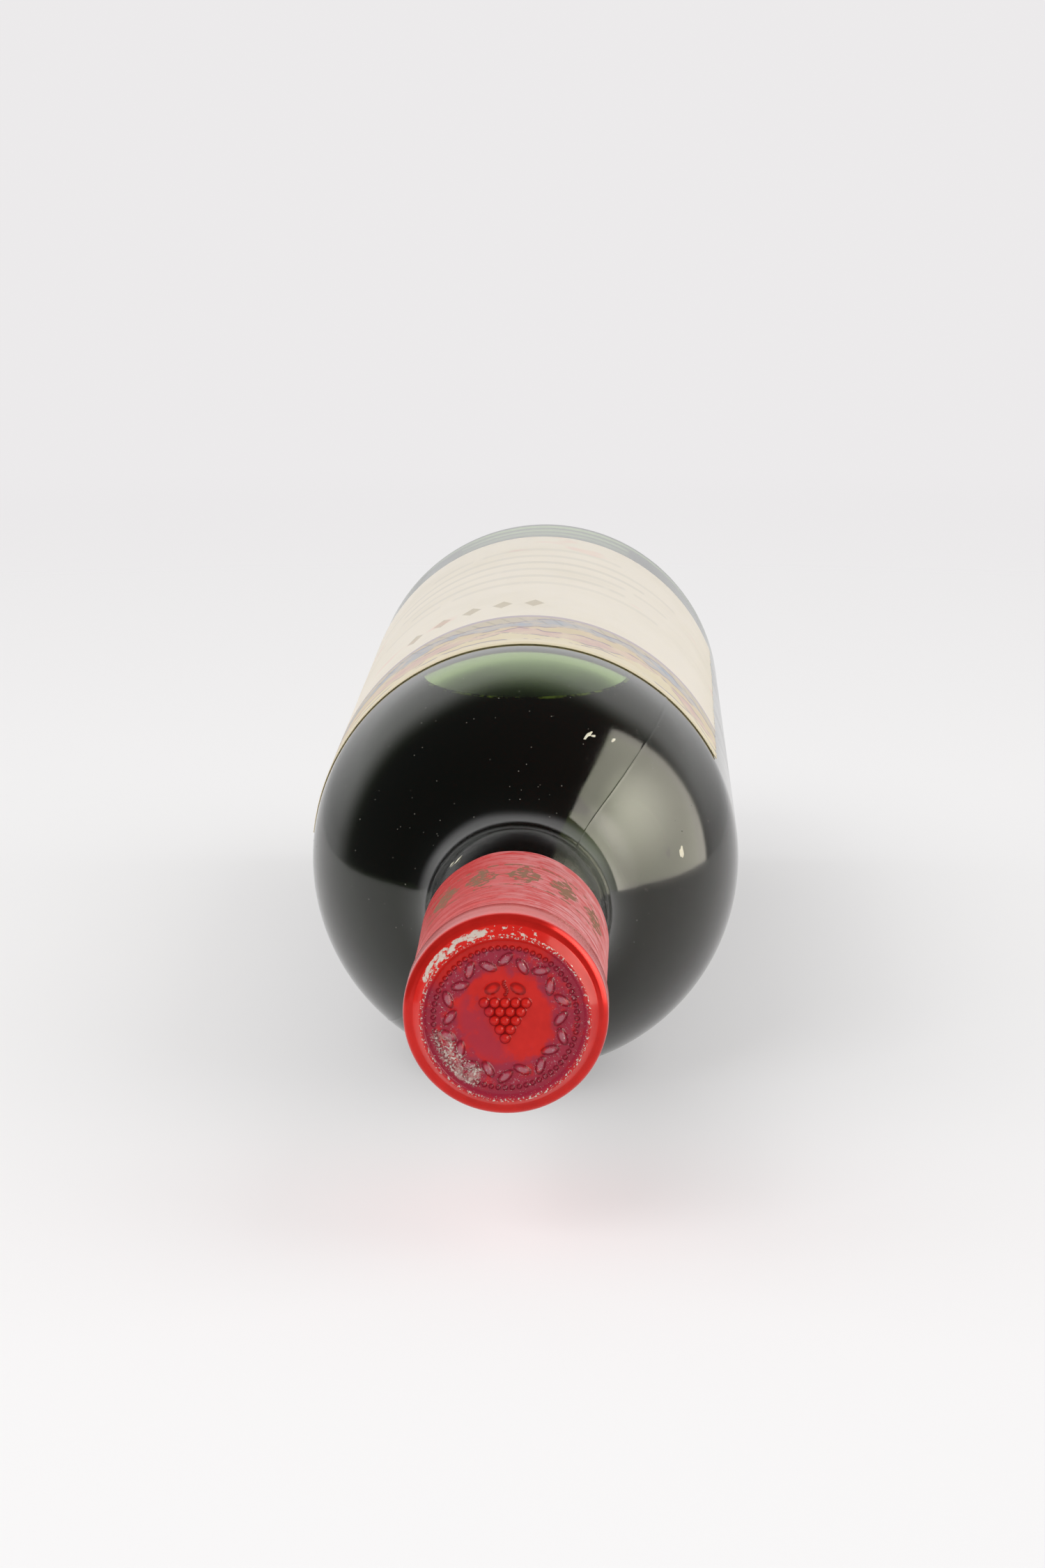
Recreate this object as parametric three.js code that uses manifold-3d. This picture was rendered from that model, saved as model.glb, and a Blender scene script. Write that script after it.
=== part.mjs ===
// A full 75 cl wine bottle with high shoulders, lying on its side as it would in a cellar.
// Millimetres, +Z up. The bottle's axis runs along Y: the capsule points to -Y and the base to +Y.
// The origin is on the floor, under the middle of the bottle's length.
import * as THREE from "three";
import { mergeVertices } from "three/addons/utils/BufferGeometryUtils.js";
import Module from "manifold-3d";

const wasm = await Module();
wasm.setup();

// Driving dimensions. Heights are measured along the axis from the base, as on a standing bottle.
const TOTAL_LENGTH = 298;
const BODY_RADIUS = 37.75;
const WALL = 3;
const HEEL_RADIUS = 7.2;
const PUNT_RADIUS = 27;
const PUNT_DEPTH = 20;
const BASE_WALL = 5;
const SHOULDER_HEIGHT = 180;
const SHOULDER_RADIUS = 44;
const NECK_RADIUS = 14.6;
const NECK_WALL = 5;
const NECK_FILLET = 17;
const BORE_FILLET = 20;
const RIM_RADIUS = 12.2;
const FLAT_WIDTH = 10;

// The foil capsule over the neck.
const FOIL = 0.3;
const FOIL_GAP = 0.25;
const CAPSULE_EDGE_HEIGHT = 248.7;
const CREASE_HEIGHT = 286.6;
const CREASE_RADIUS = 14.75;
const BAND_RADIUS = 15.4;
const BAND_LOW = 287.7;
const BAND_TOP = 295.8;
const BAND_ROUNDING = 1.4;
const BAND_UNDERSIDE_ROUNDING = 0.5;
const GROOVE_RADIUS = 13.85;
const LIP_RADIUS = 12.45;
const LIP_ROUNDING = 0.45;
const DISC_SINK = 0.7;

// The embossing on the capsule's top: a ring of beads, a wreath of leaves and a bunch of grapes.
const BEAD_COUNT = 44;
const BEAD_RING = 10.5;
const BEAD_RADIUS = 0.5;
const LEAF_COUNT = 14;
const LEAF_RING = 8.7;
const LEAF_SIZE = [1.1, 0.6, 0.4];
const GRAPE_RADIUS = 1.05;
const GRAPE_PITCH = 1.9;
const GRAPE_ROWS = [4, 3, 2, 1];

// The wine, with the air bubble of a bottle that lies level.
const FILL_GAP = 0.3;
const LEVEL_ABOVE_AXIS = 30.5;
const WINE_END_HEIGHT = 248;

// The paper label, pasted on slightly out of true. Its turn is measured from +X over the top.
const LABEL_WIDTH = 97;
const LABEL_LOW = 29.6;
const LABEL_TOP = 179;
const LABEL_PAPER = 0.15;
const LABEL_GAP = 0.1;
const LABEL_TURN = THREE.MathUtils.degToRad(97.5);
const LABEL_LEAN = 0.029;
const LABEL_STEPS = 36;

const OUTER_SIDES = 56;
const INNER_SIDES = 32;
const ARC_STEPS = 3;
const FLAT_HEIGHT = Math.sqrt(BODY_RADIUS ** 2 - (FLAT_WIDTH / 2) ** 2);

// A closed geometry as a solid that can be joined and cut.
function solidOf(geometry) {
  const bare = geometry.clone();
  bare.deleteAttribute("normal");
  bare.deleteAttribute("uv");
  const merged = mergeVertices(bare, 1e-4);
  return new wasm.Manifold(
    new wasm.Mesh({
      numProp: 3,
      vertProperties: new Float32Array(merged.attributes.position.array),
      triVerts: new Uint32Array(merged.index.array),
    }),
  );
}

// A solid back as a geometry.
function geometryOf(solid) {
  const mesh = solid.getMesh();
  const geometry = new THREE.BufferGeometry();
  geometry.setAttribute("position", new THREE.BufferAttribute(mesh.vertProperties, 3));
  geometry.setIndex(new THREE.BufferAttribute(mesh.triVerts, 1));
  geometry.computeVertexNormals();
  return geometry;
}

// A profile that starts and ends on the axis, turned into a solid of revolution.
function turned(path, sides, arcSteps = ARC_STEPS) {
  return solidOf(new THREE.LatheGeometry(path.getPoints(arcSteps), sides));
}

// A box between two corners, as a solid.
function block(low, high) {
  const size = high.clone().sub(low);
  const middle = low.clone().add(high).multiplyScalar(0.5);
  return solidOf(new THREE.BoxGeometry(size.x, size.y, size.z).translate(middle.x, middle.y, middle.z));
}

// Draws body wall, shoulder arc and neck fillet, each tangent to the next, up to the neck's start.
function shoulderTo(path, bodyRadius, shoulderRadius, neckRadius, fillet) {
  const rise = neckRadius + fillet - bodyRadius + shoulderRadius;
  const reach = shoulderRadius + fillet;
  const neckHeight = SHOULDER_HEIGHT + Math.sqrt(reach ** 2 - rise ** 2);
  const turn = Math.acos(rise / reach);
  path.lineTo(bodyRadius, SHOULDER_HEIGHT);
  path.absarc(bodyRadius - shoulderRadius, SHOULDER_HEIGHT, shoulderRadius, 0, turn, false);
  path.absarc(neckRadius + fillet, neckHeight, fillet, Math.PI + turn, Math.PI, true);
}

// The dome pushed up into the base: an arc from the axis out to the given radius.
function domeArc(path, thickness, edgeRadius) {
  const sphere = (PUNT_RADIUS ** 2 + PUNT_DEPTH ** 2) / (2 * PUNT_DEPTH);
  const centre = PUNT_DEPTH - sphere;
  const outer = sphere + thickness;
  path.absarc(0, centre, outer, Math.PI / 2, Math.acos(edgeRadius / outer), true);
  return centre + Math.sqrt(outer ** 2 - edgeRadius ** 2);
}

// The outside of the glass: punt, standing ring, heel, body, shoulder, neck, band and rim.
function glassOutside() {
  const glassBand = BAND_RADIUS - FOIL - FOIL_GAP;
  const glassTop = TOTAL_LENGTH - DISC_SINK - FOIL - FOIL_GAP;
  const path = new THREE.Path();
  domeArc(path, 0, PUNT_RADIUS);
  path.absarc(BODY_RADIUS - HEEL_RADIUS, HEEL_RADIUS, HEEL_RADIUS, -Math.PI / 2, 0, false);
  shoulderTo(path, BODY_RADIUS, SHOULDER_RADIUS, NECK_RADIUS, NECK_FILLET);
  path.lineTo(CREASE_RADIUS - FOIL - FOIL_GAP, CREASE_HEIGHT);
  path.lineTo(glassBand, BAND_LOW + BAND_ROUNDING);
  path.lineTo(glassBand, BAND_TOP - 2 * BAND_ROUNDING);
  path.lineTo(RIM_RADIUS, glassTop);
  path.lineTo(0, glassTop);
  return path;
}

// The hollow inside the glass, drawn in by inset, up to topHeight.
function hollow(inset, topHeight) {
  const bodyRadius = BODY_RADIUS - WALL - inset;
  const boreRadius = NECK_RADIUS - NECK_WALL - inset;
  const channelInner = PUNT_RADIUS + inset;
  const channel = (bodyRadius - channelInner) / 2;
  const path = new THREE.Path();
  const channelHeight = domeArc(path, BASE_WALL + inset, channelInner);
  path.absarc(channelInner + channel, channelHeight, channel, Math.PI, 2 * Math.PI, false);
  shoulderTo(path, bodyRadius, SHOULDER_RADIUS - WALL - inset, boreRadius, BORE_FILLET + inset);
  path.lineTo(boreRadius, topHeight);
  path.lineTo(0, topHeight);
  return path;
}

// The glass, hollow through to the mouth, with a narrow flat along its underside to lie on.
function bottleGlass() {
  const floorCut = block(
    new THREE.Vector3(-BODY_RADIUS, -1, -BODY_RADIUS - 1),
    new THREE.Vector3(BODY_RADIUS, TOTAL_LENGTH, -FLAT_HEIGHT),
  );
  const inside = turned(hollow(0, TOTAL_LENGTH + 1), INNER_SIDES);
  return geometryOf(turned(glassOutside(), OUTER_SIDES).subtract(inside).subtract(floorCut));
}

// The wine fills the hollow up to a level plane, and ends in the neck.
function wineFill() {
  const air = block(
    new THREE.Vector3(-BODY_RADIUS, -1, LEVEL_ABOVE_AXIS),
    new THREE.Vector3(BODY_RADIUS, TOTAL_LENGTH, BODY_RADIUS + 1),
  );
  return geometryOf(turned(hollow(FILL_GAP, WINE_END_HEIGHT), INNER_SIDES).subtract(air));
}

// The outside of the capsule: skirt, crease, round band, groove, lip and sunk disc.
// The same outline, drawn in by the foil's thickness, is its inside.
function capsuleShape(inset) {
  const skirtRadius = NECK_RADIUS + FOIL_GAP + FOIL - inset;
  const bandRadius = BAND_RADIUS - inset;
  const rounding = BAND_ROUNDING - inset;
  const underside = BAND_UNDERSIDE_ROUNDING;
  const discHeight = TOTAL_LENGTH - DISC_SINK - inset;
  const path = new THREE.Path();
  path.moveTo(0, CAPSULE_EDGE_HEIGHT - (inset > 0 ? 1 : 0));
  path.lineTo(skirtRadius, CAPSULE_EDGE_HEIGHT - (inset > 0 ? 1 : 0));
  path.lineTo(CREASE_RADIUS - inset, CREASE_HEIGHT);
  path.absarc(bandRadius - underside, BAND_LOW + underside, underside, -Math.PI / 2, 0, false);
  path.absarc(bandRadius - rounding, BAND_TOP - BAND_ROUNDING, rounding, 0, Math.PI / 2, false);
  path.lineTo(GROOVE_RADIUS - inset, BAND_TOP - inset);
  if (inset === 0) {
    path.absarc(LIP_RADIUS, TOTAL_LENGTH - LIP_ROUNDING, LIP_ROUNDING, 0, Math.PI, false);
    path.lineTo(LIP_RADIUS - LIP_ROUNDING, discHeight);
  } else {
    path.lineTo(LIP_RADIUS, discHeight);
  }
  path.lineTo(0, discHeight);
  return path;
}

// A low mound on the capsule's disc, at a place given from the disc's centre.
function mound(size, x, z, turn = 0) {
  const shape = new THREE.SphereGeometry(1, 6, 4).scale(size[0], size[2], size[1]);
  return solidOf(shape.rotateY(turn).translate(x, TOTAL_LENGTH - DISC_SINK, z));
}

// Everything embossed on the disc. Local +Z is up when the bottle lies, and local +X is its left.
function embossing() {
  const mounds = [];
  for (let i = 0; i < BEAD_COUNT; i++) {
    const turn = (2 * Math.PI * i) / BEAD_COUNT;
    mounds.push(mound(Array(3).fill(BEAD_RADIUS), BEAD_RING * Math.cos(turn), BEAD_RING * Math.sin(turn)));
  }
  for (let i = 0; i < LEAF_COUNT; i++) {
    const turn = (2 * Math.PI * i) / LEAF_COUNT;
    mounds.push(mound(LEAF_SIZE, LEAF_RING * Math.cos(turn), LEAF_RING * Math.sin(turn), Math.PI / 4 - turn));
  }
  GRAPE_ROWS.forEach((count, row) => {
    for (let i = 0; i < count; i++) {
      const x = (i - (count - 1) / 2) * GRAPE_PITCH;
      const z = ((GRAPE_ROWS.length - 1) / 2 - row) * GRAPE_PITCH * 0.87;
      mounds.push(mound([GRAPE_RADIUS, GRAPE_RADIUS, GRAPE_RADIUS / 2], x, z));
    }
  });
  return mounds;
}

// The foil cup over the neck, open towards the shoulder, with its embossed top.
function capsuleFoil() {
  const inside = turned(capsuleShape(FOIL), OUTER_SIDES, 2);
  const foil = turned(capsuleShape(0), OUTER_SIDES, 2);
  return geometryOf(embossing().reduce((joined, one) => joined.add(one), foil).subtract(inside));
}

// A thin sheet bent round the body, its side edges leaning a little along the axis.
function labelSheet() {
  const height = LABEL_TOP - LABEL_LOW;
  const sheet = new THREE.BoxGeometry(LABEL_WIDTH, height, LABEL_PAPER, LABEL_STEPS, 1, 1);
  const points = sheet.attributes.position;
  const middleRadius = BODY_RADIUS + LABEL_GAP + LABEL_PAPER / 2;
  for (let i = 0; i < points.count; i++) {
    const across = points.getX(i) + LABEL_LEAN * points.getY(i);
    const turn = LABEL_TURN + across / middleRadius;
    const radius = middleRadius + points.getZ(i);
    points.setXYZ(
      i,
      -radius * Math.cos(turn),
      LABEL_LOW + height / 2 + points.getY(i),
      radius * Math.sin(turn),
    );
  }
  return geometryOf(solidOf(sheet));
}

// A named mesh of one sub-part.
function piece(name, geometry, color, roughness, metalness = 0) {
  const made = new THREE.Mesh(geometry, new THREE.MeshStandardMaterial({ color, roughness, metalness }));
  made.name = name;
  return made;
}

const bottle = new THREE.Group();
bottle.rotation.z = Math.PI;
bottle.position.set(0, TOTAL_LENGTH / 2, FLAT_HEIGHT);
bottle.add(
  piece("bottle_glass", bottleGlass(), 0x2a3320, 0.05),
  piece("wine", wineFill(), 0x2b0810, 0.1),
  piece("capsule", capsuleFoil(), 0xc23028, 0.35, 0.6),
  piece("label", labelSheet(), 0xeae3d5, 0.85),
);

const part = new THREE.Group();
part.add(bottle);

export default part;
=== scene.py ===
import math

import bmesh
import bpy
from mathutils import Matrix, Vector, noise


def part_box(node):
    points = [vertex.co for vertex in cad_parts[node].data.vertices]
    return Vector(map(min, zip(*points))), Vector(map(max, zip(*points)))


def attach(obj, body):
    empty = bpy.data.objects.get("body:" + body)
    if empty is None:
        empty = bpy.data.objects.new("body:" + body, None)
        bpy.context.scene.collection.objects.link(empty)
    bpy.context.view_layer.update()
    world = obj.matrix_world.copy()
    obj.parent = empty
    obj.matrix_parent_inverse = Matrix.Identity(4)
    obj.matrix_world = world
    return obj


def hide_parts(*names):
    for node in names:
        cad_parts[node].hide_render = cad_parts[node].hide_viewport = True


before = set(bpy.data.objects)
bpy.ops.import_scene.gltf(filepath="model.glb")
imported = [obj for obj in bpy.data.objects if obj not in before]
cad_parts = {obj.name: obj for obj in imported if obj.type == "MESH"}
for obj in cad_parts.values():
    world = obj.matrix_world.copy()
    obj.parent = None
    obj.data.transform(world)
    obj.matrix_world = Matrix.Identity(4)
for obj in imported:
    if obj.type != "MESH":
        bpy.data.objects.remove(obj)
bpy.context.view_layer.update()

scene = bpy.context.scene
mm = 0.001
glassLow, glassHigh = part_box("bottle_glass")
capsuleLow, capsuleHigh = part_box("capsule")
wineLow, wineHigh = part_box("wine")
bodyRadius = (glassHigh.x - glassLow.x) / 2 / mm
axisHeight = glassHigh.z / mm - bodyRadius  # the axis above the floor
baseY = glassHigh.y  # the bottle stands up from here towards -Y
totalLength = (glassHigh.y - capsuleLow.y) / mm
print("frame loaded, bottle length", round(totalLength, 1), "mm")


# millimetres along the axis, out from it, and a turn from +X over the top
def place(height, radius, turn):
    return Vector((
        radius * math.cos(turn) * mm,
        baseY - height * mm,
        (axisHeight + radius * math.sin(turn)) * mm,
    ))


# (height, radius) points of an arc; angles run from outwards to upwards
def arcPoints(centre, radius, start, end, steps):
    points = []
    for i in range(steps + 1):
        a = math.radians(start + (end - start) * i / steps)
        points.append((centre[0] + radius * math.sin(a), centre[1] + radius * math.cos(a)))
    return points


# (height, radius) points of a straight run
def runPoints(start, end, steps):
    return [tuple(a + (b - a) * i / steps for a, b in zip(start, end)) for i in range(steps + 1)]


def smoothStep(low, high, value):
    t = min(1.0, max(0.0, (value - low) / (high - low)))
    return t * t * (3 - 2 * t)


def evenTurns(count):
    return [2 * math.pi * i / count for i in range(count)]


def newPiece(name, mesh, material):
    piece = bpy.data.objects.new(name, mesh)
    scene.collection.objects.link(piece)
    mesh.materials.clear()
    mesh.materials.append(material)
    return piece


def meshFrom(bm, name):
    mesh = bpy.data.meshes.new(name)
    bm.to_mesh(mesh)
    bm.free()
    return mesh


# turns a profile that starts and ends on the axis into a closed mesh; shape(height, radius, turn) bends it
def revolve(name, profile, turns, shape=None, sharp=40):
    points = [profile[0]]
    for point in profile[1:]:
        if max(abs(point[0] - points[-1][0]), abs(point[1] - points[-1][1])) > 1e-6:
            points.append(point)
    bm = bmesh.new()
    rings = []
    for height, radius in points:
        steps = turns if radius > 1e-5 else turns[:1]
        ring = []
        for turn in steps:
            at = shape(height, radius, turn) if shape else (height, radius)
            ring.append(bm.verts.new(place(at[0], at[1], turn)))
        rings.append(ring)
    for low, high in zip(rings, rings[1:]):
        for i in range(len(turns)):
            j = (i + 1) % len(turns)
            corners = [low[i % len(low)], low[j % len(low)], high[j % len(high)], high[i % len(high)]]
            bm.faces.new(list(dict.fromkeys(corners)))
    bmesh.ops.recalc_face_normals(bm, faces=bm.faces)
    mesh = meshFrom(bm, name)
    mesh.shade_smooth()
    mesh.set_sharp_from_angle(angle=math.radians(sharp))
    return mesh


# keeps a piece of the studio out of some kinds of ray
def hideFrom(piece, *rays):
    for ray in rays:
        setattr(piece, "visible_" + ray, False)


# small helpers for node trees

def setInputs(tree, node, values):
    for key, value in values.items():
        socket = node.inputs[key]
        if isinstance(value, bpy.types.NodeSocket):
            tree.links.new(value, socket)
        else:
            socket.default_value = value


def addNode(tree, kind, values=None, **settings):
    node = tree.nodes.new(kind)
    for key, value in settings.items():
        setattr(node, key, value)
    setInputs(tree, node, values or {})
    return node


def calc(tree, operation, a, b=0.0, c=0.0, clamp=False):
    node = addNode(tree, "ShaderNodeMath", operation=operation, use_clamp=clamp)
    setInputs(tree, node, {0: a, 1: b, 2: c})
    return node.outputs[0]


def vectorCalc(tree, operation, a, b):
    node = addNode(tree, "ShaderNodeVectorMath", {0: a, 1: b}, operation=operation)
    return node.outputs["Vector"]


def combine(tree, x=0.0, y=0.0, z=0.0):
    return addNode(tree, "ShaderNodeCombineXYZ", {0: x, 1: y, 2: z}).outputs[0]


def lengthOf(tree, vector):
    return addNode(tree, "ShaderNodeVectorMath", {0: vector}, operation="LENGTH").outputs["Value"]


# 0 below low, 1 above high, smooth between; low above high turns it round
def fade(tree, value, low, high):
    up = low < high
    node = addNode(tree, "ShaderNodeMapRange", interpolation_type="SMOOTHSTEP")
    edges = (low, high, 0.0, 1.0) if up else (high, low, 1.0, 0.0)
    setInputs(tree, node, dict(zip(("Value", 1, 2, 3, 4), (value,) + edges)))
    return node.outputs[0]


# spreads low..high over another range, in a straight line
def remap(tree, value, low, high, toLow, toHigh):
    node = addNode(tree, "ShaderNodeMapRange", {"Value": value, 1: low, 2: high, 3: toLow, 4: toHigh})
    return node.outputs[0]


def both(tree, *masks):
    result = masks[0]
    for mask in masks[1:]:
        result = calc(tree, "MULTIPLY", result, mask)
    return result


def most(tree, *masks):
    result = masks[0]
    for mask in masks[1:]:
        result = calc(tree, "MAXIMUM", result, mask)
    return result


def share(tree, mask, amount):
    return calc(tree, "MULTIPLY", mask, amount)


def rest(tree, mask):
    return calc(tree, "SUBTRACT", 1.0, mask)


# how far a value is from a middle, either way
def away(tree, value, middle):
    return calc(tree, "ABSOLUTE", calc(tree, "SUBTRACT", value, middle))


# moves a value by noise, up to half of reach either way
def stray(tree, value, noiseValue, reach):
    return calc(tree, "MULTIPLY_ADD", calc(tree, "SUBTRACT", noiseValue, 0.5), reach, value)


def blend(tree, mask, under, over, mode="MIX"):
    node = addNode(tree, "ShaderNodeMix", data_type="RGBA", blend_type=mode)
    setInputs(tree, node, {0: mask, 6: under, 7: over})
    return node.outputs[2]


def speckle(tree, vector, scale, detail=3.0, roughness=0.55, shift=0.0):
    if shift:
        vector = vectorCalc(tree, "ADD", vector, (shift, shift * 0.7, shift * 1.3))
    node = addNode(tree, "ShaderNodeTexNoise", noise_dimensions="3D")
    setInputs(tree, node, {"Vector": vector, "Scale": scale, "Detail": detail, "Roughness": roughness})
    return node.outputs[0]


def rgb(r, g, b):
    linear = [((v / 255 + 0.055) / 1.055) ** 2.4 if v > 10 else v / 255 / 12.92 for v in (r, g, b)]
    return (*linear, 1.0)


def newMaterial(name):
    material = bpy.data.materials.new(name)
    material.use_nodes = True
    tree = material.node_tree
    shader = tree.nodes["Principled BSDF"]
    return material, tree, shader


def newGroup(name, inputs, outputs):
    group = bpy.data.node_groups.new(name, "ShaderNodeTree")
    for label, kind, value in inputs:
        socket = group.interface.new_socket(label, in_out="INPUT", socket_type=kind)
        if value is not None:
            socket.default_value = value
    for label, kind in outputs:
        group.interface.new_socket(label, in_out="OUTPUT", socket_type=kind)
    start = group.nodes.new("NodeGroupInput")
    end = group.nodes.new("NodeGroupOutput")
    return group, start, end


def useGroup(tree, group, values):
    node = tree.nodes.new("ShaderNodeGroup")
    node.node_tree = group
    setInputs(tree, node, values)
    return node


def newGeometryTree(name, inputs):
    tree = bpy.data.node_groups.new(name, "GeometryNodeTree")
    for label, kind in (("Geometry", "NodeSocketGeometry"), *inputs):
        tree.interface.new_socket(label, in_out="INPUT", socket_type=kind)
    tree.interface.new_socket("Geometry", in_out="OUTPUT", socket_type="NodeSocketGeometry")
    start = tree.nodes.new("NodeGroupInput")
    end = tree.nodes.new("NodeGroupOutput")
    return tree, start, end


# shared effects

# height and radius on the bottle in millimetres, and the turn from +X over the top in degrees;
# Wrapped is squeezed along the axis, so that noise runs round the bottle
def bottleCoordinates():
    group, _, end = newGroup(
        "bottleCoordinates",
        [],
        [("Height", "NodeSocketFloat"), ("Radius", "NodeSocketFloat"), ("Turn", "NodeSocketFloat"),
         ("Millimetres", "NodeSocketVector"), ("Wrapped", "NodeSocketVector")],
    )
    squeeze = 6.0  # how many times tighter along the axis
    where = addNode(group, "ShaderNodeTexCoord").outputs["Object"]
    scaled = vectorCalc(group, "MULTIPLY", where, (1 / mm, 1 / mm, 1 / mm))
    parts = addNode(group, "ShaderNodeSeparateXYZ", {0: scaled})
    across = parts.outputs[0]
    up = calc(group, "SUBTRACT", parts.outputs[2], axisHeight)
    height = calc(group, "SUBTRACT", baseY / mm, parts.outputs[1])
    radius = lengthOf(group, combine(group, across, 0.0, up))
    turn = calc(group, "DEGREES", calc(group, "ARCTAN2", up, across))
    wrapped = combine(group, across, share(group, height, squeeze), up)
    for name, socket in (("Height", height), ("Radius", radius), ("Turn", turn),
                         ("Millimetres", scaled), ("Wrapped", wrapped)):
        group.links.new(socket, end.inputs[name])
    return group


# broken patches: an area mask eaten away by fine noise
def brokenPatches():
    group, start, end = newGroup(
        "brokenPatches",
        [("Vector", "NodeSocketVector", None), ("Area", "NodeSocketFloat", 1.0),
         ("Grain", "NodeSocketFloat", 1.0), ("Cover", "NodeSocketFloat", 0.5),
         ("Softness", "NodeSocketFloat", 0.05)],
        [("Mask", "NodeSocketFloat")],
    )
    grains = speckle(group, start.outputs["Vector"], start.outputs["Grain"], 5.0, 0.65)
    covered = calc(group, "MULTIPLY", start.outputs["Area"], start.outputs["Cover"])
    over = calc(group, "SUBTRACT", grains, rest(group, covered))
    mask = calc(group, "DIVIDE", over, start.outputs["Softness"], clamp=True)
    group.links.new(mask, end.inputs["Mask"])
    return group


coordinates = bottleCoordinates()
patches = brokenPatches()


# the glass

glassSettings = {
    "wall": 3.0, "heel": 7.2, "puntRadius": 27.0, "puntDepth": 20.0, "baseWall": 5.0,
    "shoulderHeight": 180.0, "shoulderRadius": 44.0, "neckRadius": 14.6, "neckWall": 5.0,
    "neckFillet": 17.0, "boreFillet": 20.0,
    "finish": ((286.6, 14.2), (289.1, 14.85), (293.0, 14.85), (296.75, 12.2)),  # rim under the foil
    "seamTurn": 49.0, "seamRise": 0.07, "seamWidth": 0.3, "seamTop": 285.0,  # two mould seams
    "seamSteps": (-1.2, -0.8, -0.5, -0.25, 0.0, 0.25, 0.5, 0.8, 1.2),  # degrees beside a seam
    "sides": 180, "shoulderSteps": 48, "sharpAngle": 50,
    "colour": rgb(142, 165, 108), "roughness": (0.07, 0.13), "smears": 0.02, "ripples": 0.045,
}


# the round of the shoulder and the fillet into the neck, which meet without a kink
def bottleShoulder(body, shoulder, neck, fillet, steps):
    g = glassSettings
    rise = neck + fillet - body + shoulder
    reach = shoulder + fillet
    neckHeight = g["shoulderHeight"] + math.sqrt(reach ** 2 - rise ** 2)
    turn = math.degrees(math.acos(rise / reach))
    return (arcPoints((g["shoulderHeight"], body - shoulder), shoulder, 0, turn, steps)
            + arcPoints((neckHeight, neck + fillet), fillet, 180 + turn, 180, steps // 2))


def outerShoulder():
    g = glassSettings
    return bottleShoulder(bodyRadius, g["shoulderRadius"], g["neckRadius"], g["neckFillet"],
                          g["shoulderSteps"])


def puntArc(extra, edge, steps):
    g = glassSettings
    sphere = (g["puntRadius"] ** 2 + g["puntDepth"] ** 2) / (2 * g["puntDepth"])
    outer = sphere + extra
    return arcPoints((g["puntDepth"] - sphere, 0), outer, 90, math.degrees(math.acos(edge / outer)), steps)


# from the inside of the punt up to the neck, drawn in (or out, if negative) by inset
def hollowProfile(inset):
    g = glassSettings
    body = bodyRadius - g["wall"] - inset
    edge = g["puntRadius"] + inset
    dome = puntArc(g["baseWall"] + inset, edge, 14)
    channel = (body - edge) / 2
    trough = arcPoints((dome[-1][0], edge + channel), channel, 180, 360, 18)
    shoulder = bottleShoulder(body, g["shoulderRadius"] - g["wall"] - inset,
                              g["neckRadius"] - g["neckWall"] - inset, g["boreFillet"] + inset, 30)
    return dome + trough + shoulder


def glassProfile():
    g = glassSettings
    outside = puntArc(0, g["puntRadius"], 16)
    outside += arcPoints((g["heel"], bodyRadius - g["heel"]), g["heel"], -90, 0, 16)
    outside += outerShoulder()
    mouth = (g["finish"][-1][0], g["neckRadius"] - g["neckWall"])
    return outside + list(g["finish"]) + [mouth] + hollowProfile(0)[::-1]


# mould seams stand a little proud on two sides, and the underside is flat where it lies
def glassSurface(height, radius, turn):
    g = glassSettings
    seamed = g["heel"] < height < g["seamTop"] and radius > g["neckRadius"] - 0.6
    hollow = radius < bodyRadius - 2 and height < g["shoulderHeight"]
    if seamed and not hollow:
        off = (math.degrees(turn) - g["seamTurn"] + 90) % 180 - 90
        radius += g["seamRise"] * math.exp(-(off / g["seamWidth"]) ** 2)
    lowest = -axisHeight / math.sin(turn) if math.sin(turn) < -0.5 else radius
    return height, min(radius, lowest)


# even turns, with finer ones beside the seams
def seamTurns():
    g = glassSettings
    turns = set(evenTurns(g["sides"]))
    for side in (0, 180):
        for step in g["seamSteps"]:
            turns.add(math.radians(g["seamTurn"] + side + step))
    return sorted(turns)


def bottleGreenGlass():
    g = glassSettings
    material, tree, shader = newMaterial("bottleGreenGlass")
    where = useGroup(tree, coordinates, {})
    smears = speckle(tree, where.outputs["Wrapped"], g["smears"], 4.0, 0.6)
    ripples = speckle(tree, where.outputs["Millimetres"], g["ripples"], 2.0, 0.4)
    bump = addNode(tree, "ShaderNodeBump", {"Height": ripples, "Strength": 0.06, "Distance": 2 * mm})
    setInputs(tree, shader, {
        "Base Color": g["colour"], "Roughness": remap(tree, smears, 0.35, 0.75, *g["roughness"]),
        "IOR": 1.5, "Transmission Weight": 1.0, "Normal": bump.outputs[0],
    })
    return material


glassMesh = revolve("bottleGlass", glassProfile(), seamTurns(), glassSurface, glassSettings["sharpAngle"])
glass = newPiece("bottleGlass", glassMesh, bottleGreenGlass())
print("glass made,", len(glass.data.polygons), "faces")


# the wine

wineSettings = {
    "intoWall": 0.12,  # reaches just into the glass, so that no air shows between
    "endHeight": (baseY - wineLow.y) / mm,
    "level": wineHigh.z / mm, "meniscus": 0.8, "meniscusDrop": 0.4,
    "sides": 144, "sharpAngle": 15,
    # edge is the colour of painted glints along the wine's thin edge
    "dark": rgb(26, 4, 8), "light": rgb(40, 6, 11), "edge": rgb(148, 156, 72),
    # under the level, where the painted glints start and where they are full
    "glintBelow": (0.36, 0.12),  # under the level, where the thin edge starts and where it is full
}


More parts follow.
